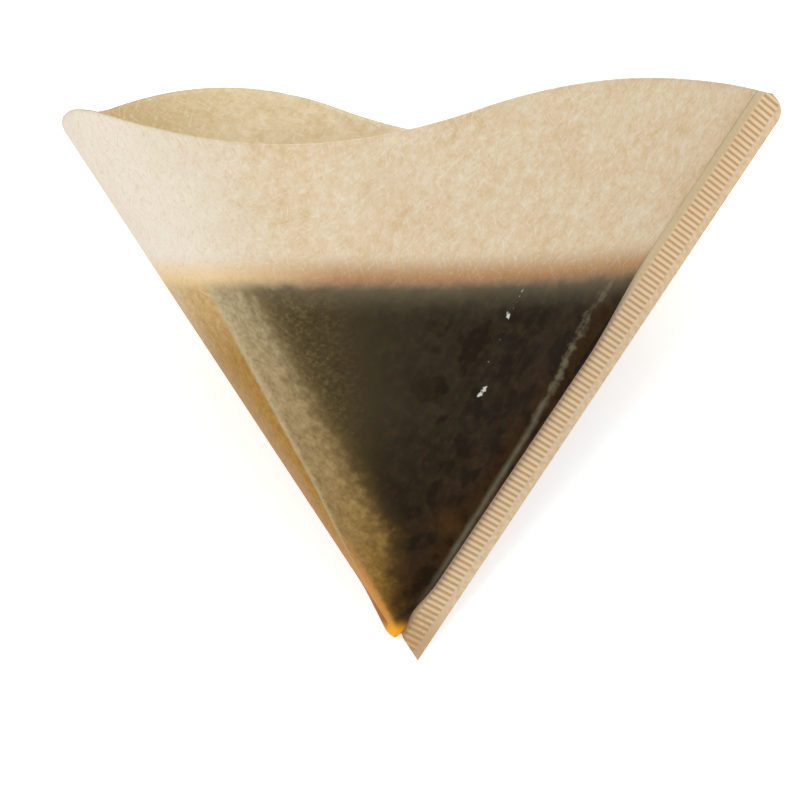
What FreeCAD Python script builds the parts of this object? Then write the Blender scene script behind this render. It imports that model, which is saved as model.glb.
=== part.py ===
import FreeCAD, Part
import Sketcher

import itertools
import math
import os

# Paper coffee filter: one sheet folded in two, crimped along one side and opened into a cone.
#
# It is drawn in a frame of its own, as if it stood on its point:
#   x runs across the mouth from the fold to the seam,
#   y from the front panel to the back panel,
#   z up from the point of the pocket, where the fold meets the seam.
# The fold and the seam lie in the plane y = 0. Every straight line of the opened sheet runs
# through the point, so each level section has the same outline at another scale.
# At the end the filter is laid on its back, as it comes to rest. There +Z is up.

# Sizes in millimetres and degrees
SIZES = {
    "paper_thickness": 0.25,
    # Lean of the fold and of the seam from the upright
    "fold_lean": 33.3,
    "seam_lean": 33.76,
    # Section of the opened cone, at this height over the point
    "section_height": 105.0,
    "bulge_left": 20.1,
    "bulge_depth": 36.75,
    "bulge_radius": 30.3,
    "front_fold_radius": 96.8,
    "front_seam_radius": 177.8,
    "back_depth": 51.5,
    "back_fold_radius": 47.3,
    "back_seam_radius": 42.0,
    # Rim, seen from the front
    "seam_length": 118.7,
    "fold_corner_height": 92.7,
    "fold_corner_radius": 2.2,
    "shoulder_radius": 14.0,
    "front_dip_left": 20.1,
    "front_dip_height": 88.5,
    "front_dip_radius": 103.0,
    "front_crest_radius": 92.8,
    "notch_radius": 12.0,
    "back_crest_left": 30.9,
    "back_crest_height": 99.6,
    "back_crest_radius": 56.4,
    "back_dip_radius": 97.2,
    # Crimped band along the seam
    "band_width": 6.2,
    "band_corner_radius": 3.5,
    "band_trim": 0.8,
    "crimp_inset": 1.45,
    "crimp_width": 3.3,
    "crimp_start": 0.8,
    "crimp_pitch": 1.09,
    "crimp_groove": 0.55,
    "crimp_depth": 0.1,
}
# What is cut away above the rim reaches this far past the paper
CLEARANCE = 10.0
# Share of the paper's thickness by which the band is set into the pocket's wall
BITE = 0.8

doc = FreeCAD.newDocument("coffee_filter")
sheet = doc.addObject("Spreadsheet::Sheet", "Sizes")
for row, (name, value) in enumerate(SIZES.items(), start=1):
    sheet.set(f"A{row}", name)
    sheet.set(f"B{row}", str(value))
    sheet.setAlias(f"B{row}", name)
doc.recompute()


def size(name):
    return float(sheet.get(name))


def at(x, y):
    return FreeCAD.Vector(x, y, 0)


def heading(degrees):
    """The unit vector that leans by so many degrees from the upright, to the right."""
    return at(math.sin(math.radians(degrees)), math.cos(math.radians(degrees)))


def meeting(first, reach, second, other_reach, upper):
    """The upper or the lower of the two points that lie at these distances from two others."""
    across = second - first
    along = (reach**2 - other_reach**2 + across.Length**2) / (2 * across.Length)
    side = at(-across.y, across.x).normalize() * math.sqrt(reach**2 - along**2)
    if (side.y > 0) != upper:
        side = -side
    return first + at(across.x, across.y).normalize() * along + side


def toward(centre, other, radius):
    """The point of a circle that looks at another point, or away from it where radius is negative."""
    return centre + (other - centre).normalize() * radius


def contact(one, reach, two, other_reach):
    """Where two circles touch, from outside or from inside."""
    if reach < other_reach:
        return toward(two, one, other_reach)
    return toward(one, two, reach)


def arc(centre, start, end):
    """The arc that runs anticlockwise round a centre, from one point to another."""
    first, last = (math.atan2(p.y - centre.y, p.x - centre.x) for p in (start, end))
    if last <= first:
        last += 2 * math.pi
    circle = Part.Circle(centre, FreeCAD.Vector(0, 0, 1), (start - centre).Length)
    return Part.ArcOfCircle(circle, first, last)


START, END, CENTRE = 1, 2, 3
ORIGIN, X_AXIS, Y_AXIS = (-1, START), -1, -2


class Outline:
    """A closed outline in a sketch of the filter's body, with its sizes bound to the sheet."""

    def __init__(self, name, plane, lift="0", turn=None):
        self.sketch = body.newObject("Sketcher::SketchObject", name)
        planes = [o for o in body.Origin.OriginFeatures if o.Role == plane]
        self.sketch.AttachmentSupport = (planes[0], [""])
        self.sketch.MapMode = "FlatFace"
        self.sketch.setExpression("AttachmentOffset.Base.z", lift)
        if turn:
            clockwise = FreeCAD.Rotation(FreeCAD.Vector(0, 0, 1), -1)
            self.sketch.AttachmentOffset = FreeCAD.Placement(FreeCAD.Vector(), clockwise)
            self.sketch.setExpression("AttachmentOffset.Rotation.Angle", f"{turn} * 1 deg")

    def edge(self, shape, construction=False):
        return self.sketch.addGeometry(shape, construction)

    def path(self, corners):
        """Straight edges from corner to corner."""
        edges = [self.edge(Part.LineSegment(a, b)) for a, b in zip(corners, corners[1:])]
        for one, two in zip(edges, edges[1:]):
            self.tie("Coincident", one, END, two, START)
        return edges

    def tie(self, kind, *where):
        return self.sketch.addConstraint(Sketcher.Constraint(kind, *where))

    def bind(self, kind, *where, value, formula):
        index = self.tie(kind, *where, value)
        self.sketch.setExpression(f"Constraints[{index}]", formula)

    def put(self, edge, point, spot, x=None, y=None):
        """Holds a point of an edge at the formulas given for its x and y; 0 is on the axis."""
        sides = ("DistanceX", Y_AXIS, spot.x, x), ("DistanceY", X_AXIS, spot.y, y)
        for kind, axis, value, formula in sides:
            if formula == "0":
                self.tie("PointOnObject", edge, point, axis)
            elif formula:
                self.bind(kind, *ORIGIN, edge, point, value=value, formula=formula)

    def slope(self, edge, degrees, formula):
        self.bind("Angle", edge, value=math.radians(degrees), formula=f"({formula}) * 1 deg")

    def radius(self, edge, name, scale=1, by=""):
        self.bind("Radius", edge, value=size(name) * scale, formula=f"Sizes.{name}{by}")

    def level(self, *edges):
        for edge in edges:
            self.tie("Horizontal", edge)

    def upright(self, *edges):
        for edge in edges:
            self.tie("Vertical", edge)


def feature(kind, name, **properties):
    made = body.newObject(f"PartDesign::{kind}", name)
    for key, value in properties.items():
        setattr(made, key, value)
    return made


body = doc.addObject("PartDesign::Body", "filter_paper")
body.Label = "filter_paper"

# The cone: one level section above the rim, drawn down to the point. The section's sizes are given
# at the section height and grow in proportion up to the height of the cone.

CONE = size("seam_length") * math.cos(math.radians(size("seam_lean"))) + CLEARANCE
CONE_HEIGHT = f"(Sizes.seam_length * cos(Sizes.seam_lean) + {CLEARANCE})"
GROWTH = CONE / size("section_height")
GROWN = f" * {CONE_HEIGHT} / Sizes.section_height"


def section(name, lift):
    """The level outline of the opened filter. The front bulges left of the middle; the back lies flat."""

    def grown(name):
        return size(name) * GROWTH

    fold = at(-CONE * math.tan(math.radians(size("fold_lean"))), 0)
    seam = at(CONE * math.tan(math.radians(size("seam_lean"))), 0)
    bulge = at(-grown("bulge_left"), -grown("bulge_depth"))
    bulge_r, fold_r, seam_r = grown("bulge_radius"), grown("front_fold_radius"), grown("front_seam_radius")
    front_fold = meeting(fold, fold_r, bulge, fold_r - bulge_r, upper=True)
    front_seam = meeting(seam, seam_r, bulge, seam_r - bulge_r, upper=True)
    depth, fold_r, seam_r = grown("back_depth"), grown("back_fold_radius"), grown("back_seam_radius")
    back_fold = at(fold.x + math.sqrt(fold_r**2 - (depth - fold_r) ** 2), depth - fold_r)
    back_seam = at(seam.x - math.sqrt(seam_r**2 - (depth - seam_r) ** 2), depth - seam_r)
    left, right = toward(bulge, front_fold, -bulge_r), toward(bulge, front_seam, -bulge_r)
    flat_left, flat_right = at(back_fold.x, depth), at(back_seam.x, depth)

    out = Outline(name, "XY_Plane", lift)
    one = out.edge(arc(front_fold, fold, left))
    two = out.edge(arc(bulge, left, right))
    three = out.edge(arc(front_seam, right, seam))
    four = out.edge(arc(back_seam, seam, flat_right))
    flat = out.edge(Part.LineSegment(flat_right, flat_left))
    five = out.edge(arc(back_fold, flat_left, fold))
    for before, after in ((one, two), (two, three), (four, flat), (flat, five)):
        out.tie("Tangent", before, END, after, START)
    out.tie("Coincident", three, END, four, START)
    out.tie("Coincident", five, END, one, START)
    out.put(one, START, fold, f"-{CONE_HEIGHT} * tan(Sizes.fold_lean)", "0")
    out.put(three, END, seam, f"{CONE_HEIGHT} * tan(Sizes.seam_lean)", "0")
    out.put(two, CENTRE, bulge, f"-Sizes.bulge_left{GROWN}", f"-Sizes.bulge_depth{GROWN}")
    out.radius(one, "front_fold_radius", GROWTH, GROWN)
    out.radius(two, "bulge_radius", GROWTH, GROWN)
    out.radius(three, "front_seam_radius", GROWTH, GROWN)
    out.radius(four, "back_seam_radius", GROWTH, GROWN)
    out.radius(five, "back_fold_radius", GROWTH, GROWN)
    out.level(flat)
    out.put(flat, START, flat_right, y=f"Sizes.back_depth{GROWN}")
    return out.sketch


def point(name, lift):
    out = Outline(name, "XY_Plane", lift)
    out.edge(Part.Point(at(0, 0)))
    out.put(0, START, at(0, 0), "0", "0")
    return out.sketch


# The hollow is the same cone moved up, by what leaves the flat of the back as thick as the paper
RISE = "Sizes.paper_thickness / sin(atan(Sizes.back_depth / Sizes.section_height))"
cone = feature(
    "AdditiveLoft",
    "Cone",
    Profile=(section("ConeSection", CONE_HEIGHT), [""]),
    Sections=[(point("ConePoint", "0"), [""])],
    Ruled=True,
)
hollow = feature(
    "SubtractiveLoft",
    "Hollow",
    Profile=(section("HollowSection", f"{CONE_HEIGHT} + {RISE}"), [""]),
    Sections=[(point("HollowPoint", RISE), [""])],
    Ruled=True,
)

# The seam band: both layers pressed together, in line with the seam. Its lower end is cut along
# the line of the fold.

BETWEEN = "(Sizes.fold_lean + Sizes.seam_lean)"
BAND_END = f"(Sizes.band_trim - Sizes.band_width * cos({BETWEEN})) / sin({BETWEEN})"


def band_outline():
    """Drawn with y along the seam and x out from it. Its upper end is cut with the front rim."""
    between = math.radians(size("fold_lean") + size("seam_lean"))
    inner, outer = -BITE * size("paper_thickness"), size("band_width")
    top = size("seam_length") + CLEARANCE
    low, high = ((size("band_trim") - x * math.cos(between)) / math.sin(between) for x in (outer, inner))
    out = Outline("BandOutline", "XZ_Plane", turn="-Sizes.seam_lean")
    corners = [at(outer, low), at(outer, top), at(inner, top), at(inner, high), at(outer, low)]
    right, upper, left, lower = out.path(corners)
    out.tie("Coincident", lower, END, right, START)
    out.upright(right, left)
    out.level(upper)
    out.put(right, START, corners[0], "Sizes.band_width", BAND_END)
    upper_end = f"Sizes.seam_length + {CLEARANCE}"
    out.put(left, START, corners[2], f"-{BITE} * Sizes.paper_thickness", upper_end)
    out.slope(lower, math.degrees(between) - 90, f"{BETWEEN} - 90")
    return out.sketch


band = feature("Pad", "Band", Profile=band_outline(), Midplane=True)
band.setExpression("Length", "2 * Sizes.paper_thickness")

# The rim: what stands above it is cut away, first in front and then at the back, from the plane
# of the band's back face outward

fold_lean, seam_lean = (math.radians(size(name)) for name in ("fold_lean", "seam_lean"))
corner_radius, corner_height = size("fold_corner_radius"), size("fold_corner_height")
corner = at(corner_radius / math.cos(fold_lean) - corner_height * math.tan(fold_lean), corner_height)
FOLD_OFFSET = "Sizes.fold_corner_radius / cos(Sizes.fold_lean)"
CORNER_X = f"{FOLD_OFFSET} - Sizes.fold_corner_height * tan(Sizes.fold_lean)"
seam_end = heading(size("seam_lean")) * size("seam_length")
SEAM_END = "Sizes.seam_length * sin(Sizes.seam_lean)", "Sizes.seam_length * cos(Sizes.seam_lean)"


def rim(name, start, bends):
    """Cuts along arcs that run from the seam to the fold, closed outside the paper.

    Each bend is its centre, the name of its radius and whether it hangs down.
    """
    out = Outline(name, "XZ_Plane", "-Sizes.paper_thickness")
    end = at(corner.x - corner_radius * math.cos(fold_lean), corner.y - corner_radius * math.sin(fold_lean))
    circles = [(centre, size(radius)) for centre, radius, _ in bends]
    joints = [start, *(contact(*one, *two) for one, two in zip(circles, circles[1:])), end]
    arcs = []
    for (centre, radius, hangs), first, last in zip(bends, joints, joints[1:]):
        ends = (last, first) if hangs else (first, last)
        made = out.edge(arc(centre, *ends))
        out.radius(made, radius)
        arcs.append((made, END, START) if hangs else (made, START, END))
    for (one, _, last), (two, first, _) in zip(arcs, arcs[1:]):
        out.tie("Tangent", one, last, two, first)
    side, top = CONE, CONE + CLEARANCE
    corners = [end, at(-side, end.y), at(-side, top), at(side, top), at(side, start.y), start]
    lower_left, left, upper, right, lower_right = out.path(corners)
    out.level(lower_left, upper, lower_right)
    out.upright(left, right)
    out.put(left, END, corners[2], f"-{CONE_HEIGHT}", f"{CONE_HEIGHT} + {CLEARANCE}")
    out.put(upper, END, corners[3], CONE_HEIGHT)
    out.tie("Coincident", lower_right, END, arcs[0][0], arcs[0][1])
    out.tie("Coincident", lower_left, START, arcs[-1][0], END)
    last = arcs[-1][0]
    out.put(last, CENTRE, corner, CORNER_X, "Sizes.fold_corner_height")
    height = "Sizes.fold_corner_height - Sizes.fold_corner_radius * sin(Sizes.fold_lean)"
    out.put(last, END, end, y=height)
    end_point = out.edge(Part.Point(seam_end), True)
    out.put(end_point, START, seam_end, *SEAM_END)
    return out, [edge for edge, _, _ in arcs], end_point


def front_rim():
    """High at the seam, hanging down in the middle, with a soft shoulder at the fold."""
    dip_r, crest_r = size("front_dip_radius"), size("front_crest_radius")
    shoulder_r, rounding = size("shoulder_radius"), size("band_corner_radius")
    dip = at(-size("front_dip_left"), size("front_dip_height") + dip_r)
    shoulder = meeting(corner, shoulder_r - corner_radius, dip, dip_r + shoulder_r, upper=False)
    crest = meeting(dip, dip_r + crest_r, seam_end, crest_r, upper=False)
    along, outward = heading(size("seam_lean")), heading(size("seam_lean") + 90)
    across = size("band_width") - rounding
    rise = math.sqrt((crest_r - rounding) ** 2 - (across - crest.dot(outward)) ** 2)
    band_corner = outward * across + along * (crest.dot(along) + rise)
    start = band_corner + outward * rounding
    out, (first, second, third, *_), end_point = rim(
        "FrontRimOutline",
        start,
        [
            (band_corner, "band_corner_radius", False),
            (crest, "front_crest_radius", False),
            (dip, "front_dip_radius", True),
            (shoulder, "shoulder_radius", False),
            (corner, "fold_corner_radius", False),
        ],
    )
    out.put(third, CENTRE, dip, "-Sizes.front_dip_left", "Sizes.front_dip_height + Sizes.front_dip_radius")
    out.tie("PointOnObject", end_point, START, second)
    foot, top = outward * size("band_width"), outward * size("band_width") + seam_end
    outer = out.edge(Part.LineSegment(foot, top), True)
    foot_x, foot_y = "Sizes.band_width * cos(Sizes.seam_lean)", "-Sizes.band_width * sin(Sizes.seam_lean)"
    out.put(outer, START, foot, foot_x, foot_y)
    out.put(outer, END, top, f"{foot_x} + {SEAM_END[0]}", f"{foot_y} + {SEAM_END[1]}")
    out.tie("Tangent", first, START, outer)
    return out.sketch


def back_rim():
    """High beside the fold, behind a small notch, and hanging down toward the seam."""
    crest_r, dip_r, notch_r = size("back_crest_radius"), size("back_dip_radius"), size("notch_radius")
    crest = at(-size("back_crest_left"), size("back_crest_height") - crest_r)
    notch = meeting(corner, corner_radius + notch_r, crest, crest_r + notch_r, upper=True)
    dip = meeting(crest, crest_r + dip_r, seam_end, dip_r, upper=True)
    reach = seam_end.x + CLEARANCE
    start = at(reach, dip.y - math.sqrt(dip_r**2 - (reach - dip.x) ** 2))
    out, (first, second, *_), end_point = rim(
        "BackRimOutline",
        start,
        [
            (dip, "back_dip_radius", True),
            (crest, "back_crest_radius", False),
            (notch, "notch_radius", True),
            (corner, "fold_corner_radius", False),
        ],
    )
    crest_height = "Sizes.back_crest_height - Sizes.back_crest_radius"
    out.put(second, CENTRE, crest, "-Sizes.back_crest_left", crest_height)
    out.tie("PointOnObject", end_point, START, first)
    out.put(first, END, start, f"{SEAM_END[0]} + {CLEARANCE}")
    return out.sketch


front = feature("Pocket", "FrontRim", Profile=front_rim(), Type="ThroughAll", Reversed=True)
back = feature("Pocket", "BackRim", Profile=back_rim(), Type="ThroughAll")

# The crimp: rows of short grooves across the band, pressed into both faces in turn


def crimp(name, lift, shift, reverse):
    out = Outline(f"{name}Groove", "XZ_Plane", lift, "-Sizes.seam_lean")
    inner, outer = size("crimp_inset"), size("crimp_inset") + size("crimp_width")
    low = size("crimp_start") + shift * size("crimp_pitch")
    high = low + size("crimp_groove")
    corners = [at(inner, low), at(outer, low), at(outer, high), at(inner, high), at(inner, low)]
    lower, right, upper, left = out.path(corners)
    out.tie("Coincident", left, END, lower, START)
    out.level(lower, upper)
    out.upright(left, right)
    start = f"Sizes.crimp_start + {shift} * Sizes.crimp_pitch"
    out.put(lower, START, corners[0], "Sizes.crimp_inset", start)
    outer_x = "Sizes.crimp_inset + Sizes.crimp_width"
    out.put(upper, START, corners[2], outer_x, f"{start} + Sizes.crimp_groove")
    groove = feature("Pocket", name, Profile=out.sketch, Reversed=reverse)
    groove.setExpression("Length", "Sizes.crimp_depth")
    up_the_seam = out.sketch, ["V_Axis"]
    row = feature("LinearPattern", f"{name}Row", Originals=[groove], Direction=up_the_seam, Mode="Spacing")
    row.setExpression("Offset", "Sizes.crimp_pitch")
    reach = "(Sizes.seam_length - Sizes.crimp_start)"
    row.setExpression("Occurrences", f"floor({reach} / Sizes.crimp_pitch) + 1")
    body.Tip = row
    return row


front_crimp = crimp("FrontCrimp", "Sizes.paper_thickness", 0, reverse=False)
back_crimp = crimp("BackCrimp", "-Sizes.paper_thickness", 0.5, reverse=True)
doc.recompute()


def resting(shape):
    """The placement in which the filter lies on its back, held by its point and its back rim.

    The three points of contact are the band's tip and the two points furthest apart such that
    no other point lies lower than the plane through all three.
    """
    edges = [edge for edge in shape.Edges if edge.Length > size("band_width")]
    points = [p for edge in edges for p in edge.discretize(Number=60)]
    lean = math.atan2(size("back_depth"), size("section_height"))
    down = FreeCAD.Vector(0, math.cos(lean), -math.sin(lean))
    tip = max(points, key=lambda p: -p.z + p.y)
    low = [p for p in points if p.z > CONE / 2 and p.dot(down) > -size("band_corner_radius")]
    best, apart = None, 0
    for one, two in itertools.combinations(low, 2):
        span = one.distanceToPoint(two)
        if span <= apart:
            continue
        normal = (one - tip).cross(two - tip).normalize()
        if normal.dot(down) > 0:
            normal = -normal
        if all((p - tip).dot(normal) > -1e-4 for p in points):
            best, apart = normal, span
    x_axis = (FreeCAD.Vector(1, 0, 0) - best * best.x).normalize()
    turn = FreeCAD.Rotation(x_axis, best.cross(x_axis), best, "ZXY").inverted()
    laid = shape.copy()
    laid.Placement = FreeCAD.Placement(FreeCAD.Vector(), turn)
    box = laid.optimalBoundingBox(False)
    return FreeCAD.Placement(FreeCAD.Vector(-box.Center.x, -box.Center.y, -box.ZMin), turn)


# The origin is under the middle of the filter's box, on the surface it lies on
body.Placement = resting(body.Shape)
doc.recompute()

for item in doc.Objects:
    assert not {"Invalid", "Error"} & set(item.State), f"{item.Name}: {item.State}"
for item in body.Group:
    if item.isDerivedFrom("Sketcher::SketchObject"):
        assert item.FullyConstrained, f"{item.Name} is not fully constrained"
    else:
        assert not item.Shape.isNull() and item.Shape.isValid(), f"{item.Name} has no valid shape"
paper = body.Shape
assert paper.isValid() and len(paper.Solids) == 1, "the filter is not one solid"
volumes = [step.Shape.Volume for step in (cone, hollow, band, front, back, front_crimp, back_crimp)]
assert volumes[1] < volumes[0] and volumes[2] > volumes[1], "the hollow or the band has no effect"
assert all(after < before for before, after in zip(volumes[2:], volumes[3:])), "a cut takes nothing away"

os.makedirs("parts", exist_ok=True)
paper.exportStep("parts/filter_paper.step")

box = paper.optimalBoundingBox(False)
print(f"box {box.XLength:.2f} x {box.YLength:.2f} x {box.ZLength:.2f} mm, from z {box.ZMin:.3f}")
print(f"volume {paper.Volume:.0f} mm3, faces {len(paper.Faces)}")
print(f"laid by {body.Placement}")
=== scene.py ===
# %% [markdown]
# # A used paper coffee filter
# This lesson dresses the plain model of a cone coffee filter. The filter is one sheet of unbleached
# paper, folded in two and crimped along one side, opened into a cone and soaked with coffee.
# It lies on its back, because a paper cone can't stand on its point.

# %% Load the plain model
import math

import bpy
import numpy as np
from mathutils import Matrix, Vector, noise


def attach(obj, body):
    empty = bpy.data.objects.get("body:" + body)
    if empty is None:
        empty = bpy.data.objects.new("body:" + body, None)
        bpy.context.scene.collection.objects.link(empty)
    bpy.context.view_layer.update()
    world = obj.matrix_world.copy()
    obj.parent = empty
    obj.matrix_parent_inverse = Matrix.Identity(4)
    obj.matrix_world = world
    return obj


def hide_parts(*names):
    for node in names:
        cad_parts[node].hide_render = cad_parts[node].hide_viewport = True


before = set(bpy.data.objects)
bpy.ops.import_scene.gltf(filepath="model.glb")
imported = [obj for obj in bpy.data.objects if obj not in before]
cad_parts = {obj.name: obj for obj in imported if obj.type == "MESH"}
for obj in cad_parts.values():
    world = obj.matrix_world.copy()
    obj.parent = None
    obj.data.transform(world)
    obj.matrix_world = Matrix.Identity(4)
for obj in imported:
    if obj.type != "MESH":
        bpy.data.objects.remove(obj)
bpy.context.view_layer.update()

bpy.ops.object.select_all(action="DESELECT")

# %% [markdown]
# ## Where the filter lies
# It is easier to draw a cone that stands on its point: x runs across the mouth from the fold to the
# seam, y from the front panel to the back panel, and z up from the point. One turn and one move then
# lay every vertex down, so that the finished object needs no turn of its own.

# %% The turn and the move that lay the filter down
MM = 0.001
# Where the point comes to lie, in millimetres, and where the cone's upward direction then points
POINT = Vector((-5.05059, -53.011, 2.31092))
UP = Vector((-0.0050188, -0.9072664, 0.4205264)).normalized()
ACROSS = (Vector((1, 0, 0)) - UP * UP.x).normalized()
LAY = Matrix((ACROSS, UP.cross(ACROSS), UP))


def laid(points):
    """Turns millimetres of the standing cone into metres of the lying one."""
    return (np.asarray(points) @ np.array(LAY).T + np.array(POINT)) * MM


print("the point lies at", laid([(0, 0, 0)]).round(4).tolist())

# %% [markdown]
# ## The shape of the opened paper
# Every straight line of an opened cone of paper runs through its point. So one level section is
# enough to know the whole sheet. In front it bulges left of the middle, and at the back it is
# pressed flat. The section is drawn with arcs, as the plain model's is.

# %% The level section, 105 mm over the point
SECTION = 105.0
FOLD_LEAN, SEAM_LEAN = math.radians(33.3), math.radians(33.76)
FOLD = np.array((-SECTION * math.tan(FOLD_LEAN), 0))
SEAM = np.array((SECTION * math.tan(SEAM_LEAN), 0))
BULGE, BULGE_RADIUS = np.array((-20.1, -36.75)), 30.3
FOLD_SIDE_RADIUS, SEAM_SIDE_RADIUS = 96.8, 177.8
BACK_DEPTH, BACK_FOLD_RADIUS, BACK_SEAM_RADIUS = 51.5, 47.3, 42.0


def meeting(first, reach, second, other_reach, upper):
    """The upper or the lower point that lies at these distances from two others."""
    across = second - first
    span = np.linalg.norm(across)
    along = (reach**2 - other_reach**2 + span**2) / (2 * span)
    side = np.array((-across[1], across[0])) / span * math.sqrt(reach**2 - along**2)
    if (side[1] > 0) != upper:
        side = -side
    return first + across / span * along + side


def contact(one, reach, two, other_reach):
    """Where two circles touch, from outside or from inside."""
    if reach < other_reach:
        one, reach, two = two, other_reach, one
    return one + (two - one) / np.linalg.norm(two - one) * reach


def arc(centre, start, end, turn=1, steps=400):
    """Points of the arc from one point to another, anticlockwise where turn is 1."""
    first, last = (math.atan2(p[1] - centre[1], p[0] - centre[0]) for p in (start, end))
    if (last - first) * turn <= 0:
        last += turn * 2 * math.pi
    angles = np.linspace(first, last, steps)
    reach = np.linalg.norm(np.asarray(start) - centre)
    return centre + reach * np.c_[np.cos(angles), np.sin(angles)]


def front_section():
    near_fold = meeting(FOLD, FOLD_SIDE_RADIUS, BULGE, FOLD_SIDE_RADIUS - BULGE_RADIUS, upper=True)
    near_seam = meeting(SEAM, SEAM_SIDE_RADIUS, BULGE, SEAM_SIDE_RADIUS - BULGE_RADIUS, upper=True)
    left = contact(BULGE, BULGE_RADIUS, near_fold, FOLD_SIDE_RADIUS)
    right = contact(BULGE, BULGE_RADIUS, near_seam, SEAM_SIDE_RADIUS)
    arcs = arc(near_fold, FOLD, left), arc(BULGE, left, right)[1:], arc(near_seam, right, SEAM)[1:]
    return np.vstack(arcs)


def back_section():
    fold_depth, seam_depth = BACK_DEPTH - BACK_FOLD_RADIUS, BACK_DEPTH - BACK_SEAM_RADIUS
    painted_fold_lighting = np.array((FOLD[0] + math.sqrt(BACK_FOLD_RADIUS**2 - fold_depth**2), fold_depth))
    seam_side = np.array((SEAM[0] - math.sqrt(BACK_SEAM_RADIUS**2 - seam_depth**2), seam_depth))
    right, left = np.array((seam_side[0], BACK_DEPTH)), np.array((painted_fold_lighting[0], BACK_DEPTH))
    flat = np.linspace(right, left, 200)
    return np.vstack((arc(seam_side, SEAM, right), flat[1:], arc(painted_fold_lighting, left, FOLD)[1:]))


def rays(section):
    """Unit directions from the point of the cone, and the angle each has turned in the flat sheet."""
    ray = np.c_[section, np.full(len(section), SECTION)]
    ray /= np.linalg.norm(ray, axis=1)[:, None]
    turned = np.arccos(np.clip((ray[1:] * ray[:-1]).sum(1), -1, 1))
    return ray, np.r_[0, np.cumsum(turned)]


FRONT_RAYS, FRONT_ANGLES = rays(front_section())
BACK_RAYS, BACK_ANGLES = rays(back_section())
print("the flat sheet's sector, degrees:", round(math.degrees(FRONT_ANGLES[-1] + BACK_ANGLES[-1]), 1))

# %% [markdown]
# ## The rim
# The rim was cut while the sheet was folded flat, with a rounded corner at the fold. Opened, it
# sways: the front hangs down in the middle and rises to the seam, and the back rises beside the fold.
# Both outlines are arcs in the view from the front.

# %% The rim's outlines, as x and height seen from the front
SEAM_LENGTH = 118.7
SEAM_END = SEAM_LENGTH * np.array((math.sin(SEAM_LEAN), math.cos(SEAM_LEAN)))
CORNER_RADIUS, CORNER_HEIGHT = 2.2, 92.7
CORNER = np.array((CORNER_RADIUS / math.cos(FOLD_LEAN) - CORNER_HEIGHT * math.tan(FOLD_LEAN), CORNER_HEIGHT))
CORNER_START = CORNER - CORNER_RADIUS * np.array((math.cos(FOLD_LEAN), math.sin(FOLD_LEAN)))
FRONT_DIP_HEIGHT, FRONT_DIP_RADIUS = 88.5, 103.0
FRONT_DIP = np.array((-20.1, FRONT_DIP_HEIGHT + FRONT_DIP_RADIUS))
FRONT_CREST_RADIUS, SHOULDER_RADIUS = 92.8, 14.0
FRONT_CREST = meeting(
    FRONT_DIP, FRONT_DIP_RADIUS + FRONT_CREST_RADIUS, SEAM_END, FRONT_CREST_RADIUS, upper=False
)
BACK_CREST_HEIGHT, BACK_CREST_RADIUS = 99.6, 56.4
BACK_CREST = np.array((-30.9, BACK_CREST_HEIGHT - BACK_CREST_RADIUS))
BACK_DIP_RADIUS, NOTCH_RADIUS = 97.2, 12.0
PAST_SEAM = SEAM_END + np.array((1.5, -1.8))


def front_rim():
    shoulder = meeting(
        CORNER, SHOULDER_RADIUS - CORNER_RADIUS, FRONT_DIP, FRONT_DIP_RADIUS + SHOULDER_RADIUS, upper=False
    )
    one = contact(CORNER, CORNER_RADIUS, shoulder, SHOULDER_RADIUS)
    two = contact(shoulder, SHOULDER_RADIUS, FRONT_DIP, FRONT_DIP_RADIUS)
    three = contact(FRONT_DIP, FRONT_DIP_RADIUS, FRONT_CREST, FRONT_CREST_RADIUS)
    return np.vstack(
        (
            arc(CORNER, CORNER_START, one, -1),
            arc(shoulder, one, two, -1)[1:],
            arc(FRONT_DIP, two, three)[1:],
            arc(FRONT_CREST, three, SEAM_END, -1)[1:],
        )
    )


def back_rim():
    """The back bulges past the seam, where its rim drops out of sight behind the band."""
    notch = meeting(
        CORNER, CORNER_RADIUS + NOTCH_RADIUS, BACK_CREST, BACK_CREST_RADIUS + NOTCH_RADIUS, upper=True
    )
    dip = meeting(BACK_CREST, BACK_CREST_RADIUS + BACK_DIP_RADIUS, SEAM_END, BACK_DIP_RADIUS, upper=True)
    one = contact(CORNER, CORNER_RADIUS, notch, NOTCH_RADIUS)
    two = contact(notch, NOTCH_RADIUS, BACK_CREST, BACK_CREST_RADIUS)
    three = contact(BACK_CREST, BACK_CREST_RADIUS, dip, BACK_DIP_RADIUS)
    return np.vstack(
        (
            arc(CORNER, CORNER_START, one, -1),
            arc(notch, one, two)[1:],
            arc(BACK_CREST, two, three, -1)[1:],
            arc(dip, three, SEAM_END)[1:],
            PAST_SEAM,
        )
    )


def reach(ray, rim):
    """How far each ray runs before it meets the rim."""
    lean = rim[:, 0] / rim[:, 1]
    return np.interp(ray[:, 0] / ray[:, 2], lean, rim[:, 1]) / ray[:, 2]


print("front rim, mm:", front_rim()[::400].round(1).tolist())

# %% [markdown]
# ## The pocket
# A flat sheet is a grid. One column of vertices runs along each straight line of the cone, from the
# point to the rim, and the rows run round it. Columns stand closer together at the fold and at the
# seam, where the paper turns sharply. Operators can't lay a grid along a measured section, so a
# formula moves the vertices, and modifiers finish the piece.

# %% Where each vertex of the sheet goes
COLUMNS, ROWS = 152, 112
PAPER = 0.25
SWELL_PLACE, SWELL_OUT, SWELL_FORWARD = 1.3, 1.9, 0.9
BLUNT, BLUNT_START, BLUNT_END = 0.8, 1.6, 12
LONG_WAVES = {"size": 38, "seed": 3.1, "height": 0.9}
CRINKLES = {"size": 9, "seed": 8.7, "height": 0.3}


def smooth(value, low, high):
    share = np.clip((value - low) / (high - low), 0, 1)
    return share * share * (3 - 2 * share)


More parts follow.
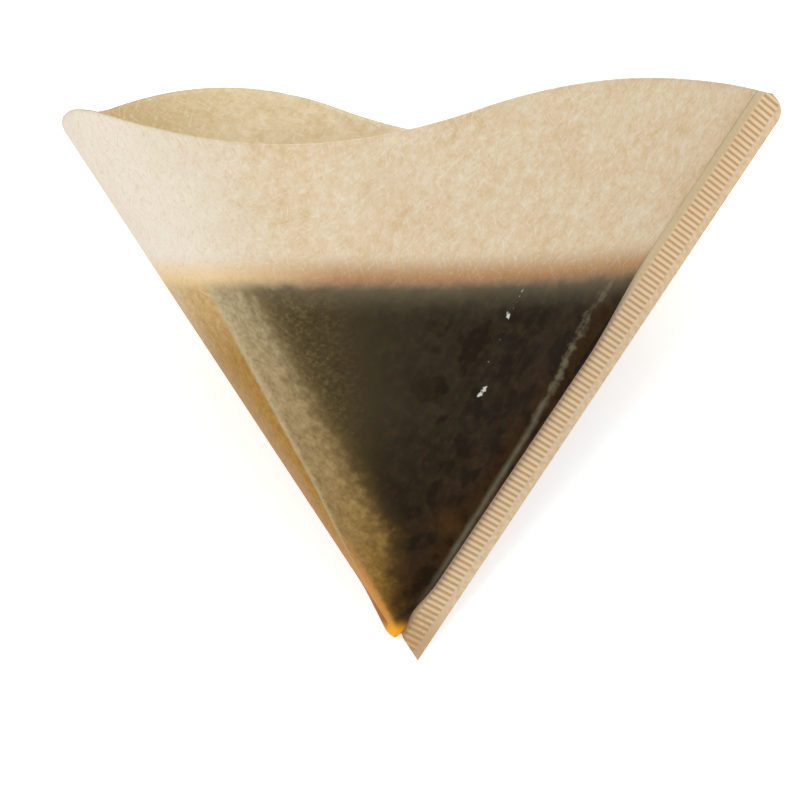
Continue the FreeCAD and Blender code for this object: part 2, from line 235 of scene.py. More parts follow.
def spread(count, gather=0.85):
    """Shares from 0 to 1 that stand closer together at both ends."""
    even = np.linspace(0, 1, count)
    return even - gather * np.sin(2 * math.pi * even) / (2 * math.pi)


def panel(ray, angles, rim, count):
    """Rays, flat angles and rim distances of a panel's columns."""
    wanted = spread(count) * angles[-1]
    picked = np.c_[tuple(np.interp(wanted, angles, ray[:, axis]) for axis in range(3))]
    picked /= np.linalg.norm(picked, axis=1)[:, None]
    return picked, wanted, reach(picked, rim)


def waves(points, size, seed, height):
    """Soft random waves of about this size, all in millimetres."""
    at = [noise.noise(Vector(p) / size + Vector((seed, 7.3, 1.9))) for p in points.reshape(-1, 3)]
    return height * np.array(at).reshape(points.shape[:-1])


def sheet_points():
    back, back_angles, back_reach = panel(BACK_RAYS, BACK_ANGLES, back_rim(), COLUMNS)
    front, front_angles, front_reach = panel(FRONT_RAYS, FRONT_ANGLES, front_rim(), COLUMNS)
    ray = np.vstack((back, front[1:]))
    turned = np.r_[back_angles, back_angles[-1] + front_angles[1:]]
    far = np.r_[back_reach, front_reach[1:]]
    is_front = np.arange(len(ray)) >= COLUMNS - 1
    along = np.linspace(0, 1, ROWS)[:, None] * far[None]
    outward = np.cross(np.gradient(ray, axis=0), ray)
    outward /= np.linalg.norm(outward, axis=1)[:, None]
    points = along[..., None] * ray[None]

    # Hand-opened paper is never quite straight: long waves everywhere, small crinkles where it is soaked
    height = points[..., 2]
    wet = 1 - smooth(height, 58, 68)
    held = smooth(along, 4, 30) * smooth(along * np.abs(turned - turned[COLUMNS - 1])[None], 1, 12)
    held *= smooth(along * np.minimum(turned, turned[-1] - turned)[None], 1, 12)
    lift = waves(points, **LONG_WAVES) * held
    lift += waves(points, **CRINKLES) * wet * held
    points = points + lift[..., None] * outward[None]

    # Soaked paper swells over the pressed edge of the seam
    gap = along * (turned[-1] - turned)[None]
    bulge = gap / SWELL_PLACE * np.exp(1 - gap / SWELL_PLACE)
    swell = np.where(is_front[None], bulge, 0) * smooth(along, 2, 12)
    swell *= 0.1 + 0.9 * (1 - smooth(height, 50, 72)) - 0.1 * smooth(height, 80, 95)
    out_of_seam = np.array((math.cos(SEAM_LEAN), 0, -math.sin(SEAM_LEAN)))
    points = points + swell[..., None] * (SWELL_OUT * out_of_seam + np.array((0, -SWELL_FORWARD, 0)))

    # The point is blunt, because it is full of coffee
    blunt = BLUNT * smooth(along, 0, BLUNT_START) * (1 - smooth(along, BLUNT_START, BLUNT_END))
    points = points + blunt[..., None] * outward[None]
    points[..., 2] -= BLUNT * np.exp(-((along / 2.4) ** 2))
    return points, along, turned


SHEET, ALONG, TURNED = sheet_points()
print("sheet of", SHEET.shape[1], "columns and", SHEET.shape[0], "rows")

# %% Lay the grid along the cone


def grid_piece(name, points, maps):
    """A grid whose vertices are put at these points, with maps of millimetres for the patterns."""
    rows, columns = points.shape[:2]
    bpy.ops.mesh.primitive_grid_add(
        x_subdivisions=columns - 1, y_subdivisions=rows - 1, size=1, calc_uvs=True
    )
    piece = bpy.context.object
    piece.name = piece.data.name = name
    mesh = piece.data
    mesh.vertices.foreach_set("co", laid(points.reshape(-1, 3)).ravel())
    corners = np.empty(len(mesh.loops), dtype=np.int32)
    mesh.loops.foreach_get("vertex_index", corners)
    mesh.uv_layers.remove(mesh.uv_layers[0])
    for title, flat in maps.items():
        layer = mesh.uv_layers.new(name=title)
        layer.data.foreach_set("uv", flat.reshape(-1, 2)[corners].astype(np.float32).ravel())
    mesh.update()
    return piece


def modify(piece, kind, **settings):
    """Adds a modifier with these settings and applies it."""
    bpy.context.view_layer.objects.active = piece
    bpy.ops.object.modifier_add(type=kind)
    modifier = piece.modifiers[-1]
    for key, value in settings.items():
        setattr(modifier, key, value)
    bpy.ops.object.modifier_apply(modifier=modifier.name)


flat_sheet = np.stack((ALONG * np.cos(TURNED), ALONG * np.sin(TURNED)), axis=-1)
pocket = grid_piece("filter_pocket", SHEET, {"Flat sheet": flat_sheet, "From the front": SHEET[..., ::2]})
bpy.ops.object.mode_set(mode="EDIT")
bpy.ops.mesh.select_all(action="SELECT")
bpy.ops.mesh.remove_doubles(threshold=0.02 * MM)
bpy.ops.mesh.normals_make_consistent(inside=False)
bpy.ops.object.mode_set(mode="OBJECT")
middle = sum((v.co for v in pocket.data.vertices), Vector()) / len(pocket.data.vertices)
outward_faces = sum((p.center - middle).dot(p.normal) > 0 for p in pocket.data.polygons)
if outward_faces < len(pocket.data.polygons) / 2:
    pocket.data.flip_normals()
OUTSIDE, INSIDE = 0, 1
for slot in (OUTSIDE, INSIDE):
    pocket.data.materials.append(None)
modify(
    pocket,
    "SOLIDIFY",
    thickness=PAPER * MM,
    offset=-1,
    use_rim=True,
    material_offset=INSIDE,
    material_offset_rim=INSIDE,
)
print("pocket:", len(pocket.data.polygons), "faces, outward", outward_faces)

# %% [markdown]
# ## The crimped band
# Along the seam both layers are pressed between toothed wheels, which locks them without glue.
# The teeth leave a row of ridges, 1.09 mm apart, between a pressed inner edge and a plain outer edge.
# The ridges slant a little, one way low on the seam and the other way near the rim.
# The band is a grid too. Its columns run along the seam, and its surface follows the teeth.

# %% Model the band
BAND_WIDTH, BAND_TRIM, BAND_CORNER = 6.2, 0.8, 3.5
CRIMP_INSET, CRIMP_WIDTH, CRIMP_PITCH, CRIMP_START = 1.45, 3.3, 1.09, 0.8
BAND_COLUMNS, BAND_ROWS = 22, 1100
TOOTH_HEIGHT, TOOTH_SHARPNESS, PRESSED_DEPTH = 0.11, 1.2, 0.1
CRIMP_SLANT, CRIMP_TWIST = 0.13, 0.002
BAND_PAPER, BAND_SWELL = 1.9 * PAPER, 0.75


def band_top(across):
    """How far up the band reaches, in line with the seam, at each distance from it."""
    along = np.array((math.sin(SEAM_LEAN), math.cos(SEAM_LEAN)))
    outward = np.array((math.cos(SEAM_LEAN), -math.sin(SEAM_LEAN)))
    centre = FRONT_CREST @ outward, FRONT_CREST @ along
    crest = centre[1] + np.sqrt(FRONT_CREST_RADIUS**2 - (across - centre[0]) ** 2)
    middle = BAND_WIDTH - BAND_CORNER
    rise = math.sqrt((FRONT_CREST_RADIUS - BAND_CORNER) ** 2 - (middle - centre[0]) ** 2)
    corner = centre[1] + rise + np.sqrt(np.maximum(BAND_CORNER**2 - (across - middle) ** 2, 0))
    return np.where(across > middle, np.minimum(crest, corner), crest)


def band_points():
    across = np.r_[-0.03, np.sort(BAND_WIDTH * (1 - spread(BAND_COLUMNS - 1, 0.6)))]
    lean = FOLD_LEAN + SEAM_LEAN
    bottom = (BAND_TRIM - across * math.cos(lean)) / math.sin(lean)
    top = band_top(across)
    share = np.linspace(0, 1, BAND_ROWS)[:, None]
    along = bottom + share * (top - bottom)
    across = np.broadcast_to(across, along.shape)
    swollen = BAND_SWELL * (1 - smooth(along, BLUNT_START, BLUNT_END))
    across = across + swollen * (1 - smooth(across, 0, 2))
    slanted = along - across * (CRIMP_SLANT - CRIMP_TWIST * along)
    tooth = np.tanh(TOOTH_SHARPNESS * np.sin(2 * math.pi * (slanted - CRIMP_START) / CRIMP_PITCH))
    inner, outer = CRIMP_INSET, CRIMP_INSET + CRIMP_WIDTH
    mask = smooth(across, inner - 0.25, inner + 0.2) * (1 - smooth(across, outer - 0.2, outer + 0.25))
    mask = mask * smooth(along, 0.2, 1.2) * (1 - smooth(along, top - 0.8, top - 0.2))
    depth = TOOTH_HEIGHT * tooth * mask
    depth = depth + PRESSED_DEPTH * smooth(across, 0, 0.5) * (1 - smooth(across, 0.9, 1.3))
    x = along * math.sin(SEAM_LEAN) + across * math.cos(SEAM_LEAN)
    z = along * math.cos(SEAM_LEAN) - across * math.sin(SEAM_LEAN)
    points = np.stack((x, depth, z), axis=-1)
    points[..., 1] += waves(points, 30, 5.5, 0.35) * smooth(across, 0, 3)
    return points, np.stack((across, slanted), axis=-1)


BAND, BAND_MAP = band_points()
band = grid_piece("seam_band", BAND, {"Along the band": BAND_MAP, "From the front": BAND[..., ::2]})
modify(band, "SOLIDIFY", thickness=BAND_PAPER * MM, offset=0, use_rim=True)
print("band:", len(band.data.polygons), "faces")

for piece in (pocket, band):
    for face in piece.data.polygons:
        face.use_smooth = True
    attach(piece, "root")
    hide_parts("filter_paper")

# %% [markdown]
# ## Colours and nodes
# Colours are written as they look on a screen, and one function turns them into the linear values
# that a shader needs. One function adds a node, sets its sockets and links what it is given.

# %% Helpers for the materials
RELIEF, SHINE = 0.2, 0.04


def linear(colour):
    """An sRGB hex colour as linear red, green, blue and alpha."""
    parts = [int(colour[i : i + 2], 16) / 255 for i in (1, 3, 5)]
    return [c / 12.92 if c <= 0.04045 else ((c + 0.055) / 1.055) ** 2.4 for c in parts] + [1.0]


def add(tree, kind, inputs=(), stops=(), **settings):
    """Adds a node and returns its first output. Text that starts with # is a colour."""
    node = tree.nodes.new("ShaderNode" + kind)
    for key, value in settings.items():
        setattr(node, key, value)
    for number, (place, colour) in enumerate(stops):
        ramp = node.color_ramp.elements
        is_between = 0 < number < len(stops) - 1
        stop = ramp.new(place) if is_between else ramp[-1 if number else 0]
        stop.position, stop.color = place, linear(colour)
    for socket, value in inputs.items() if isinstance(inputs, dict) else enumerate(inputs):
        if isinstance(value, bpy.types.NodeSocket):
            tree.links.new(value, node.inputs[socket])
        elif value is not None:
            node.inputs[socket].default_value = linear(value) if isinstance(value, str) else value
    return node.outputs[0] if node.outputs else None


def material(name):
    """An empty material and its node tree."""
    made = bpy.data.materials.new(name)
    made.use_nodes = True
    made.node_tree.nodes.clear()
    return made, made.node_tree


def paper_surface(tree, colour, rough, height, strength):
    """Ends a material's node tree with dull paper that has a fine relief."""
    bump = add(tree, "Bump", {"Height": height, "Strength": strength, "Distance": RELIEF * MM})
    surface = {"Base Color": colour, "Roughness": rough, "Normal": bump, "Specular IOR Level": SHINE}
    add(tree, "OutputMaterial", [add(tree, "BsdfPrincipled", surface)])


print("a colour:", [round(v, 3) for v in linear("#DEC8A5")])

# %% [markdown]
# ## Unbleached filter paper
# The paper is made of long brown and pale wood fibres that lie in all directions, pressed into a
# soft, dull sheet. Up close it is mottled beige with thin curved strokes 2 to 4 mm long.
# Coffee has soaked the lower two thirds. Wet paper is darker, smoother and a little glossy.
# The patterns are read from the flat sheet in millimetres, so they follow the paper round the cone,
# and the coffee is read from the view from the front, because its surface was level when it stood.

# %% Filter paper, dry and soaked
LEVEL = 63.4
FIBRE_LENGTH, FIBRE_WIDTH = 4.2, 0.38
LIGHT_FIBRES = {50: 3.0, -25: 9.0}
DARK_FIBRES = {75: 15.0, 20: 21.0}
BROWN_PATCH = 9.7, 20.4, 0.0
BLACK_STOPS = (0.36, "#171106"), (0.5, "#1F180B"), (0.66, "#2B2415")
GLINTS = (
    ((23.6, 63.0), (21.4, 58.9), 0.15),
    ((20.6, 57.9), (20.4, 57.6), 0.55),
    ((20.4, 56.0), (16.9, 49.0), 0.08),
    ((15.3, 43.2), (16.5, 44.6), 0.5),
)


def fibres(tree, flat, angle, seed):
    """Thin curved strokes that lie in one direction of the sheet, given in degrees."""
    bend = add(tree, "TexNoise", {0: flat, "Scale": 0.16, "Detail": 1.0}).node.outputs["Color"]
    bend = add(tree, "VectorMath", [bend, (0.5, 0.5, 0.5)], operation="SUBTRACT")
    bend = add(tree, "VectorMath", {0: bend, "Scale": 3.5}, operation="SCALE")
    bent = add(tree, "VectorMath", [flat, bend], operation="ADD")
    shifted, spun = (seed, seed * 0.7, seed * 1.3), (0, 0, math.radians(angle))
    turned = add(tree, "Mapping", {0: bent, "Location": shifted, "Rotation": spun})
    drawn = add(tree, "Mapping", {0: turned, "Scale": (1 / FIBRE_LENGTH, 1 / FIBRE_WIDTH, 1)})
    stroke = add(tree, "TexNoise", {0: drawn, "Scale": 1.0, "Detail": 1.0, "Roughness": 0.4})
    return add(tree, "MapRange", [stroke, 0.58, 0.74, 0.0, 1.0], interpolation_type="SMOOTHSTEP")


def filter_paper(name, pale, beige, tan, light_fibre, dark_fibre, painted_fold_lighting, is_outside):
    made, tree = material(name)
    flat = add(tree, "UVMap", uv_map="Flat sheet")
    seen = add(tree, "UVMap", uv_map="From the front")
    x = add(tree, "SeparateXYZ", [seen])
    z = x.node.outputs[1]
    speckle = add(tree, "TexNoise", {0: flat, "Scale": 1.1, "Detail": 3.0, "Roughness": 0.6})
    mottle = add(tree, "TexNoise", {0: flat, "Scale": 0.42, "Detail": 3.0, "Roughness": 0.55})
    cloud = add(tree, "TexNoise", {0: flat, "Scale": 0.09, "Detail": 2.0})

    # 1 on the front panel's outside and 0 elsewhere
    past_fold = (-math.sin(BACK_ANGLES[-1]), math.cos(BACK_ANGLES[-1]), 0.0)
    in_front = add(tree, "VectorMath", [flat, past_fold], operation="DOT_PRODUCT").node.outputs["Value"]
    in_front = add(tree, "MapRange", [in_front, 0.0, 0.5, 0.0, is_outside])

    # Height over the coffee's level, which rises a little toward the seam
    rise = add(tree, "Math", [x, 0.0], operation="MAXIMUM")
    rise = add(tree, "Math", [rise, rise], operation="MULTIPLY")
    rise = add(tree, "Math", [rise, 0.0012, LEVEL], operation="MULTIPLY_ADD")
    over = add(tree, "Math", [z, rise], operation="SUBTRACT")
    lean = add(tree, "Math", [x, add(tree, "Math", [z, 2.0], operation="MAXIMUM")], operation="DIVIDE")

    # Dry paper, warmer just over the level
    mixed = add(tree, "Math", [mottle, 0.65], operation="MULTIPLY")
    mixed = add(tree, "Math", [cloud, 0.35, mixed], operation="MULTIPLY_ADD")
    dry = add(tree, "ValToRGB", [mixed], stops=((0.3, pale), (0.5, beige), (0.7, tan)))
    # Painted light and shade toward the fold: on the outside a paler colour stands in for the light falling
    # there, on the inside a darker colour stands in for shade
    painted_fold_lighting_share = add(tree, "MapRange", [lean, -0.22, -0.6, 0.0, 0.75], interpolation_type="SMOOTHSTEP")
    dry = add(tree, "MixRGB", [painted_fold_lighting_share, dry, painted_fold_lighting])
    warm = add(tree, "Math", [mottle, 2.0, over], operation="MULTIPLY_ADD")
    warm = add(tree, "MapRange", [warm, 7.0, 1.6, 0.0, 0.92], interpolation_type="SMOOTHSTEP")
    thick = add(tree, "MapRange", [lean, -0.52, -0.15, 0.0, 1.0])
    dry = add(tree, "MixRGB", [warm, dry, add(tree, "MixRGB", [thick, "#E9CB9A", "#AA7D52"])])
    flecks = add(tree, "MapRange", [speckle, 0.55, 0.68, 0.0, 0.3])
    dry = add(tree, "MixRGB", [flecks, dry, dark_fibre])
    stands_out = add(tree, "MapRange", [warm, 0.0, 0.92, 0.3, 0.1])
    flecks = add(tree, "MapRange", [speckle, 0.45, 0.32, 0.0, 1.0])
    flecks = add(tree, "Math", [flecks, stands_out], operation="MULTIPLY")
    dry = add(tree, "MixRGB", [flecks, dry, light_fibre])
    light = [fibres(tree, flat, angle, seed) for angle, seed in LIGHT_FIBRES.items()]
    light = add(tree, "Math", light, operation="MAXIMUM")
    dark = [fibres(tree, flat, angle, seed) for angle, seed in DARK_FIBRES.items()]
    dark = add(tree, "Math", dark, operation="MAXIMUM")
    share = add(tree, "Math", [light, stands_out], operation="MULTIPLY")
    dry = add(tree, "MixRGB", [share, dry, light_fibre])
    share = add(tree, "Math", [dark, 0.22], operation="MULTIPLY")
    dry = add(tree, "MixRGB", [share, dry, dark_fibre])
    ragged = add(tree, "Math", [mottle, 1.7, over], operation="MULTIPLY_ADD")
    wet = add(tree, "MapRange", [ragged, 2.4, -0.7, 0.0, 1.0], interpolation_type="SMOOTHSTEP")

    # Soaked paper: nearly black over the coffee, olive and paler toward the fold, reddish at the seam
    deep = add(tree, "MapRange", [z, 60.0, 8.0, 0.0, 1.0])
    black = add(tree, "ValToRGB", [mottle], stops=BLACK_STOPS)
    thinner = add(tree, "MapRange", [lean, -0.15, 0.45, 0.55, 0.0])
    higher = add(tree, "MapRange", [z, 26.0, 40.0, 0.3, 1.0])
    thinner = add(tree, "Math", [thinner, higher], operation="MULTIPLY")
    black = add(tree, "MixRGB", [thinner, black, "#463D2B"])
    grain = add(tree, "Math", [speckle, mottle], operation="ADD")
    grain = add(tree, "MapRange", [grain, 0.7, 1.3, 0.0, 1.0])
    olive = add(tree, "ValToRGB", [grain], stops=((0.1, "#3E331D"), (0.5, "#564729"), (0.9, "#7A6A43")))
    to_black = add(tree, "Math", [mottle, 0.35, lean], operation="MULTIPLY_ADD")
    to_black = add(tree, "MapRange", [to_black, -0.3, 0.14, 0.0, 1.0], interpolation_type="SMOOTHSTEP")
    soaked = add(tree, "MixRGB", [to_black, olive, black])
    brown = add(tree, "Math", [deep, speckle], operation="MULTIPLY")
    brown = add(tree, "MapRange", [brown, 0.2, 0.6, 0.0, 0.6])
    soaked = add(tree, "MixRGB", [brown, soaked, "#281A08"])
    from_seam = add(tree, "Math", [z, math.tan(SEAM_LEAN)], operation="MULTIPLY")
    from_seam = add(tree, "Math", [from_seam, x], operation="SUBTRACT")
    from_seam = add(tree, "Math", [from_seam, math.cos(SEAM_LEAN)], operation="MULTIPLY")
    red = add(tree, "MapRange", [from_seam, 12.0, 0.0, 0.0, 1.0])
    red = add(tree, "Math", [red, speckle], operation="MULTIPLY")
    soaked = add(tree, "MixRGB", [red, soaked, "#3C2511"])
    blotch = add(tree, "TexNoise", {0: flat, "Scale": 0.19, "Detail": 3.0, "Distortion": 0.15})
    blotch = add(tree, "MapRange", [blotch, 0.46, 0.6, 0.0, 0.8], interpolation_type="SMOOTHSTEP")
    beside = add(tree, "MapRange", [lean, 0.0, 0.2, 0.0, 1.0])
    blotch = add(tree, "Math", [blotch, beside], operation="MULTIPLY")
    soaked = add(tree, "MixRGB", [blotch, soaked, "#160E03"])
    hue = add(tree, "TexNoise", {0: flat, "Scale": 0.6, "Detail": 2.0}).node.outputs["Color"]
    hue = add(tree, "SeparateColor", [hue])
    ruddy = add(tree, "MapRange", [hue, 0.5, 0.7, 0.0, 0.22])
    soaked = add(tree, "MixRGB", [ruddy, soaked, "#452B12"])

    # Its upper edge is greyish, where the paper has begun to dry
    drying = add(tree, "Math", [mottle, 1.6, over], operation="MULTIPLY_ADD")
    drying = add(tree, "MapRange", [drying, -6.4, 1.0, 0.0, 1.0])
    drying = add(tree, "Math", [drying, 2.0], operation="POWER")
    drying = add(tree, "Math", [drying, 0.8], operation="MULTIPLY")
    soaked = add(tree, "MixRGB", [drying, soaked, "#7C7059"])

    # A brown glow low on the seam side, where the coffee runs past
    patch = add(tree, "VectorMath", [seen, BROWN_PATCH], operation="DISTANCE").node.outputs["Value"]
    patch = add(tree, "Math", [speckle, 3.0, patch], operation="MULTIPLY_ADD")
    patch = add(tree, "MapRange", [patch, 6.0, 1.0, 0.0, 0.35], interpolation_type="SMOOTHSTEP")
    soaked = add(tree, "MixRGB", [patch, soaked, "#5E3D14"])

    # A soft pale painted highlight runs down beside the seam, on the swollen wet paper, and a dark painted
    # shadow line lies past it
    place = add(tree, "MapRange", [z, 36.0, 58.0, 0.05, 2.75])
    drift = add(tree, "MapRange", [z, 34.0, 12.0, 0.0, 0.75])
    place = add(tree, "Math", [place, drift], operation="SUBTRACT")
    off = add(tree, "Math", [from_seam, place], operation="SUBTRACT")
    off = add(tree, "Math", [off], operation="ABSOLUTE")
    loose = add(tree, "MapRange", [z, 36.0, 50.0, 0.0, 1.0])
    breaks = add(tree, "MapRange", [loose, 0.0, 1.0, 0.8, 4.6])
    broken = add(tree, "Math", [mottle, breaks], operation="MULTIPLY")
    off = add(tree, "Math", [off, broken], operation="ADD")
    width = add(tree, "MapRange", [loose, 0.0, 1.0, 1.25, 3.1])
    off = add(tree, "Math", [off, width], operation="SUBTRACT")
    painted_seam_highlight = add(tree, "MapRange", [off, 0.1, -1.2, 0.0, 0.66], interpolation_type="SMOOTHSTEP")
    ends = add(tree, "MapRange", [z, 3.0, 16.0, 0.0, 1.0])
    painted_seam_highlight = add(tree, "Math", [painted_seam_highlight, ends], operation="MULTIPLY")
    painted_seam_highlight = add(tree, "Math", [painted_seam_highlight, in_front], operation="MULTIPLY")
    soaked = add(tree, "MixRGB", [painted_seam_highlight, soaked, "#76705A"])
    # Painted shadow: a dark line where the swollen paper meets the band
    painted_seam_shadow = add(tree, "MapRange", [off, 0.9, 1.4, 0.0, 1.0])
    past = add(tree, "MapRange", [from_seam, -0.3, -0.7, 0.0, 0.9])
    painted_seam_shadow = add(tree, "Math", [painted_seam_shadow, past], operation="MULTIPLY")
    soaked = add(tree, "MixRGB", [painted_seam_shadow, soaked, "#181006"])

    # A few wet glints, in a broken chain and two short commas
    glints = None
    for (start_x, start_z), (end_x, end_z), wide in GLINTS:
        along = Vector((end_x - start_x, end_z - start_z, 0))
        tilt = math.atan2(along.y, along.x)
        spot = add(tree, "VectorMath", [seen, (start_x, start_z, 0.0)], operation="SUBTRACT")
        spot = add(tree, "VectorRotate", {0: spot, "Angle": -tilt}, rotation_type="Z_AXIS")
        nearest = add(tree, "VectorMath", [spot, (0.0, -9.0, -9.0)], operation="MAXIMUM")
        nearest = add(tree, "VectorMath", [nearest, (along.length, 9.0, 9.0)], operation="MINIMUM")
        nearest = add(tree, "VectorMath", [nearest, (1.0, 0.0, 0.0)], operation="MULTIPLY")
        spot = add(tree, "VectorMath", [spot, nearest], operation="DISTANCE").node.outputs["Value"]
        spot = add(tree, "Math", [speckle, 1.6, spot], operation="MULTIPLY_ADD")
        spot = add(tree, "MapRange", [spot, wide + 0.62, wide + 0.42, 0.0, 1.0])
        glints = spot if glints is None else add(tree, "Math", [glints, spot], operation="MAXIMUM")
    glints = add(tree, "Math", [glints, in_front], operation="MULTIPLY")
    soaked = add(tree, "MixRGB", [glints, soaked, "#C9CBC4"])

    # Beside the fold the coffee is thin: a soft pale band, and a golden border with a painted highlight
    # along its ridge
    ragged_lean = add(tree, "Math", [speckle, 0.03, lean], operation="MULTIPLY_ADD")
    narrowed = add(tree, "MapRange", [z, 26.0, 12.0, 0.0, 0.045])
    ragged_lean = add(tree, "Math", [ragged_lean, narrowed], operation="ADD")
    past_border = add(tree, "Math", [z, 0.545, x], operation="MULTIPLY_ADD")
    fringe = add(tree, "Math", [mottle, 7.0, past_border], operation="MULTIPLY_ADD")
    narrow = add(tree, "MapRange", [z, 4.0, 18.0, -0.5, 6.2])
    fringe = add(tree, "Math", [fringe, narrow], operation="SUBTRACT")
    browned = add(tree, "MapRange", [fringe, 10.5, 3.5, 0.0, 0.8], interpolation_type="SMOOTHSTEP")
    olive_brown = add(tree, "MixRGB", [deep, "#6B5C3B", "#5E431E"])
    soaked = add(tree, "MixRGB", [browned, soaked, olive_brown])
    band_share = add(tree, "MapRange", [fringe, 7.6, 1.2, 0.0, 1.0], interpolation_type="SMOOTHSTEP")
    pale_wet = add(tree, "MixRGB", [deep, "#B5A47E", "#967433"])
    pale_dark = add(tree, "MixRGB", [deep, "#8F7D59", "#70521E"])
    pale_wet = add(tree, "MixRGB", [grain, pale_wet, pale_dark])
    soaked = add(tree, "MixRGB", [band_share, soaked, pale_wet])
    below = add(tree, "MapRange", [z, 64.0, 50.0, 0.0, 1.0])
    gold = add(tree, "MixRGB", [below, "#D6BB88", "#AE8436"])
    gold_dark = add(tree, "MixRGB", [below, "#B8955C", "#8F671C"])
    gold = add(tree, "MixRGB", [grain, gold, gold_dark])
    edge = add(tree, "MapRange", [lean, -0.60, -0.65, 0.0, 0.8])
    toward_point = add(tree, "MapRange", [z, 42.0, 12.0, 0.0, 1.0])
    edge = add(tree, "Math", [edge, toward_point], operation="MULTIPLY")
    gold = add(tree, "MixRGB", [edge, gold, "#B06C1C"])
    border = add(tree, "MapRange", [ragged_lean, -0.524, -0.536, 0.0, 1.0], interpolation_type="SMOOTHSTEP")
    # Painted highlight along the ridge of the fold border
    ridge = add(tree, "MapRange", [ragged_lean, -0.49, -0.525, 0.0, 0.4], interpolation_type="SMOOTHSTEP")
    soaked = add(tree, "MixRGB", [ridge, soaked, "#CDBC92"])
    soaked = add(tree, "MixRGB", [border, soaked, gold])

    # Near the point the border has painted light, as if lit from behind, with a dark outline, and the point
    # itself has a painted glow
    low = add(tree, "MapRange", [z, 20.0, 7.0, 0.0, 1.0])
    painted_backlight_strip = add(tree, "Math", [speckle, 0.8, past_border], operation="MULTIPLY_ADD")
    painted_backlight_strip = add(tree, "MapRange", [painted_backlight_strip, 2.0, 0.6, 0.0, 0.85], interpolation_type="SMOOTHSTEP")
    painted_backlight_strip = add(tree, "Math", [painted_backlight_strip, low], operation="MULTIPLY")
    soaked = add(tree, "MixRGB", [painted_backlight_strip, soaked, "#D3934A"])
    outline = add(tree, "MapRange", [lean, -0.62, -0.66, 0.0, 0.8])
    outline = add(tree, "Math", [outline, low], operation="MULTIPLY")
    soaked = add(tree, "MixRGB", [outline, soaked, "#8A5614"])
    # Painted glow at the point, which is no lamp
    glow = add(tree, "MapRange", [z, 2.8, -0.4, 0.0, 1.0], interpolation_type="SMOOTHSTEP")
    soaked = add(tree, "MixRGB", [glow, soaked, "#FBAE28"])
    colour = add(tree, "MixRGB", [wet, dry, soaked])

    rough = add(tree, "MapRange", [wet, 0.0, 1.0, 0.9, 0.36])
    felt = add(tree, "Math", [light, dark], operation="ADD")
    felt = add(tree, "Math", [felt, 0.5, speckle], operation="MULTIPLY_ADD")
    height = add(tree, "MixRGB", [wet, felt, mottle])
    paper_surface(tree, colour, rough, height, 0.12)
    return made


pocket.data.materials[OUTSIDE] = filter_paper(
    "Unbleached filter paper",
    pale="#E1D4BC",
    beige="#DAC6A6",
    tan="#D0B68D",
    light_fibre="#ECE3D3",
    dark_fibre="#CDA576",
    painted_fold_lighting="#EEE8DB",
    is_outside=1.0,
)
# The inside is the same paper in brighter, yellower colours: painted light for the light that reaches into
# the pocket, with painted shade beside the fold
pocket.data.materials[INSIDE] = filter_paper(
    "Unbleached filter paper, inside, painted light and shade",
    pale="#EBDDC0",
    beige="#E1CEA9",
    tan="#D4BD91",
    light_fibre="#F0E5CF",
    dark_fibre="#C7A974",
    painted_fold_lighting="#B99D68",
    is_outside=0.0,
)
print("pocket slots:", [slot.name for slot in pocket.data.materials])

# %% [markdown]
# ## Crimped paper
# The teeth press the fibres of both layers together. The grooves are painted brown and the tops pale,
# partly for the pressed paper and partly as painted shade and painted light, and the plain edges are a
# little greyer than the open paper.

# %% Crimped filter paper


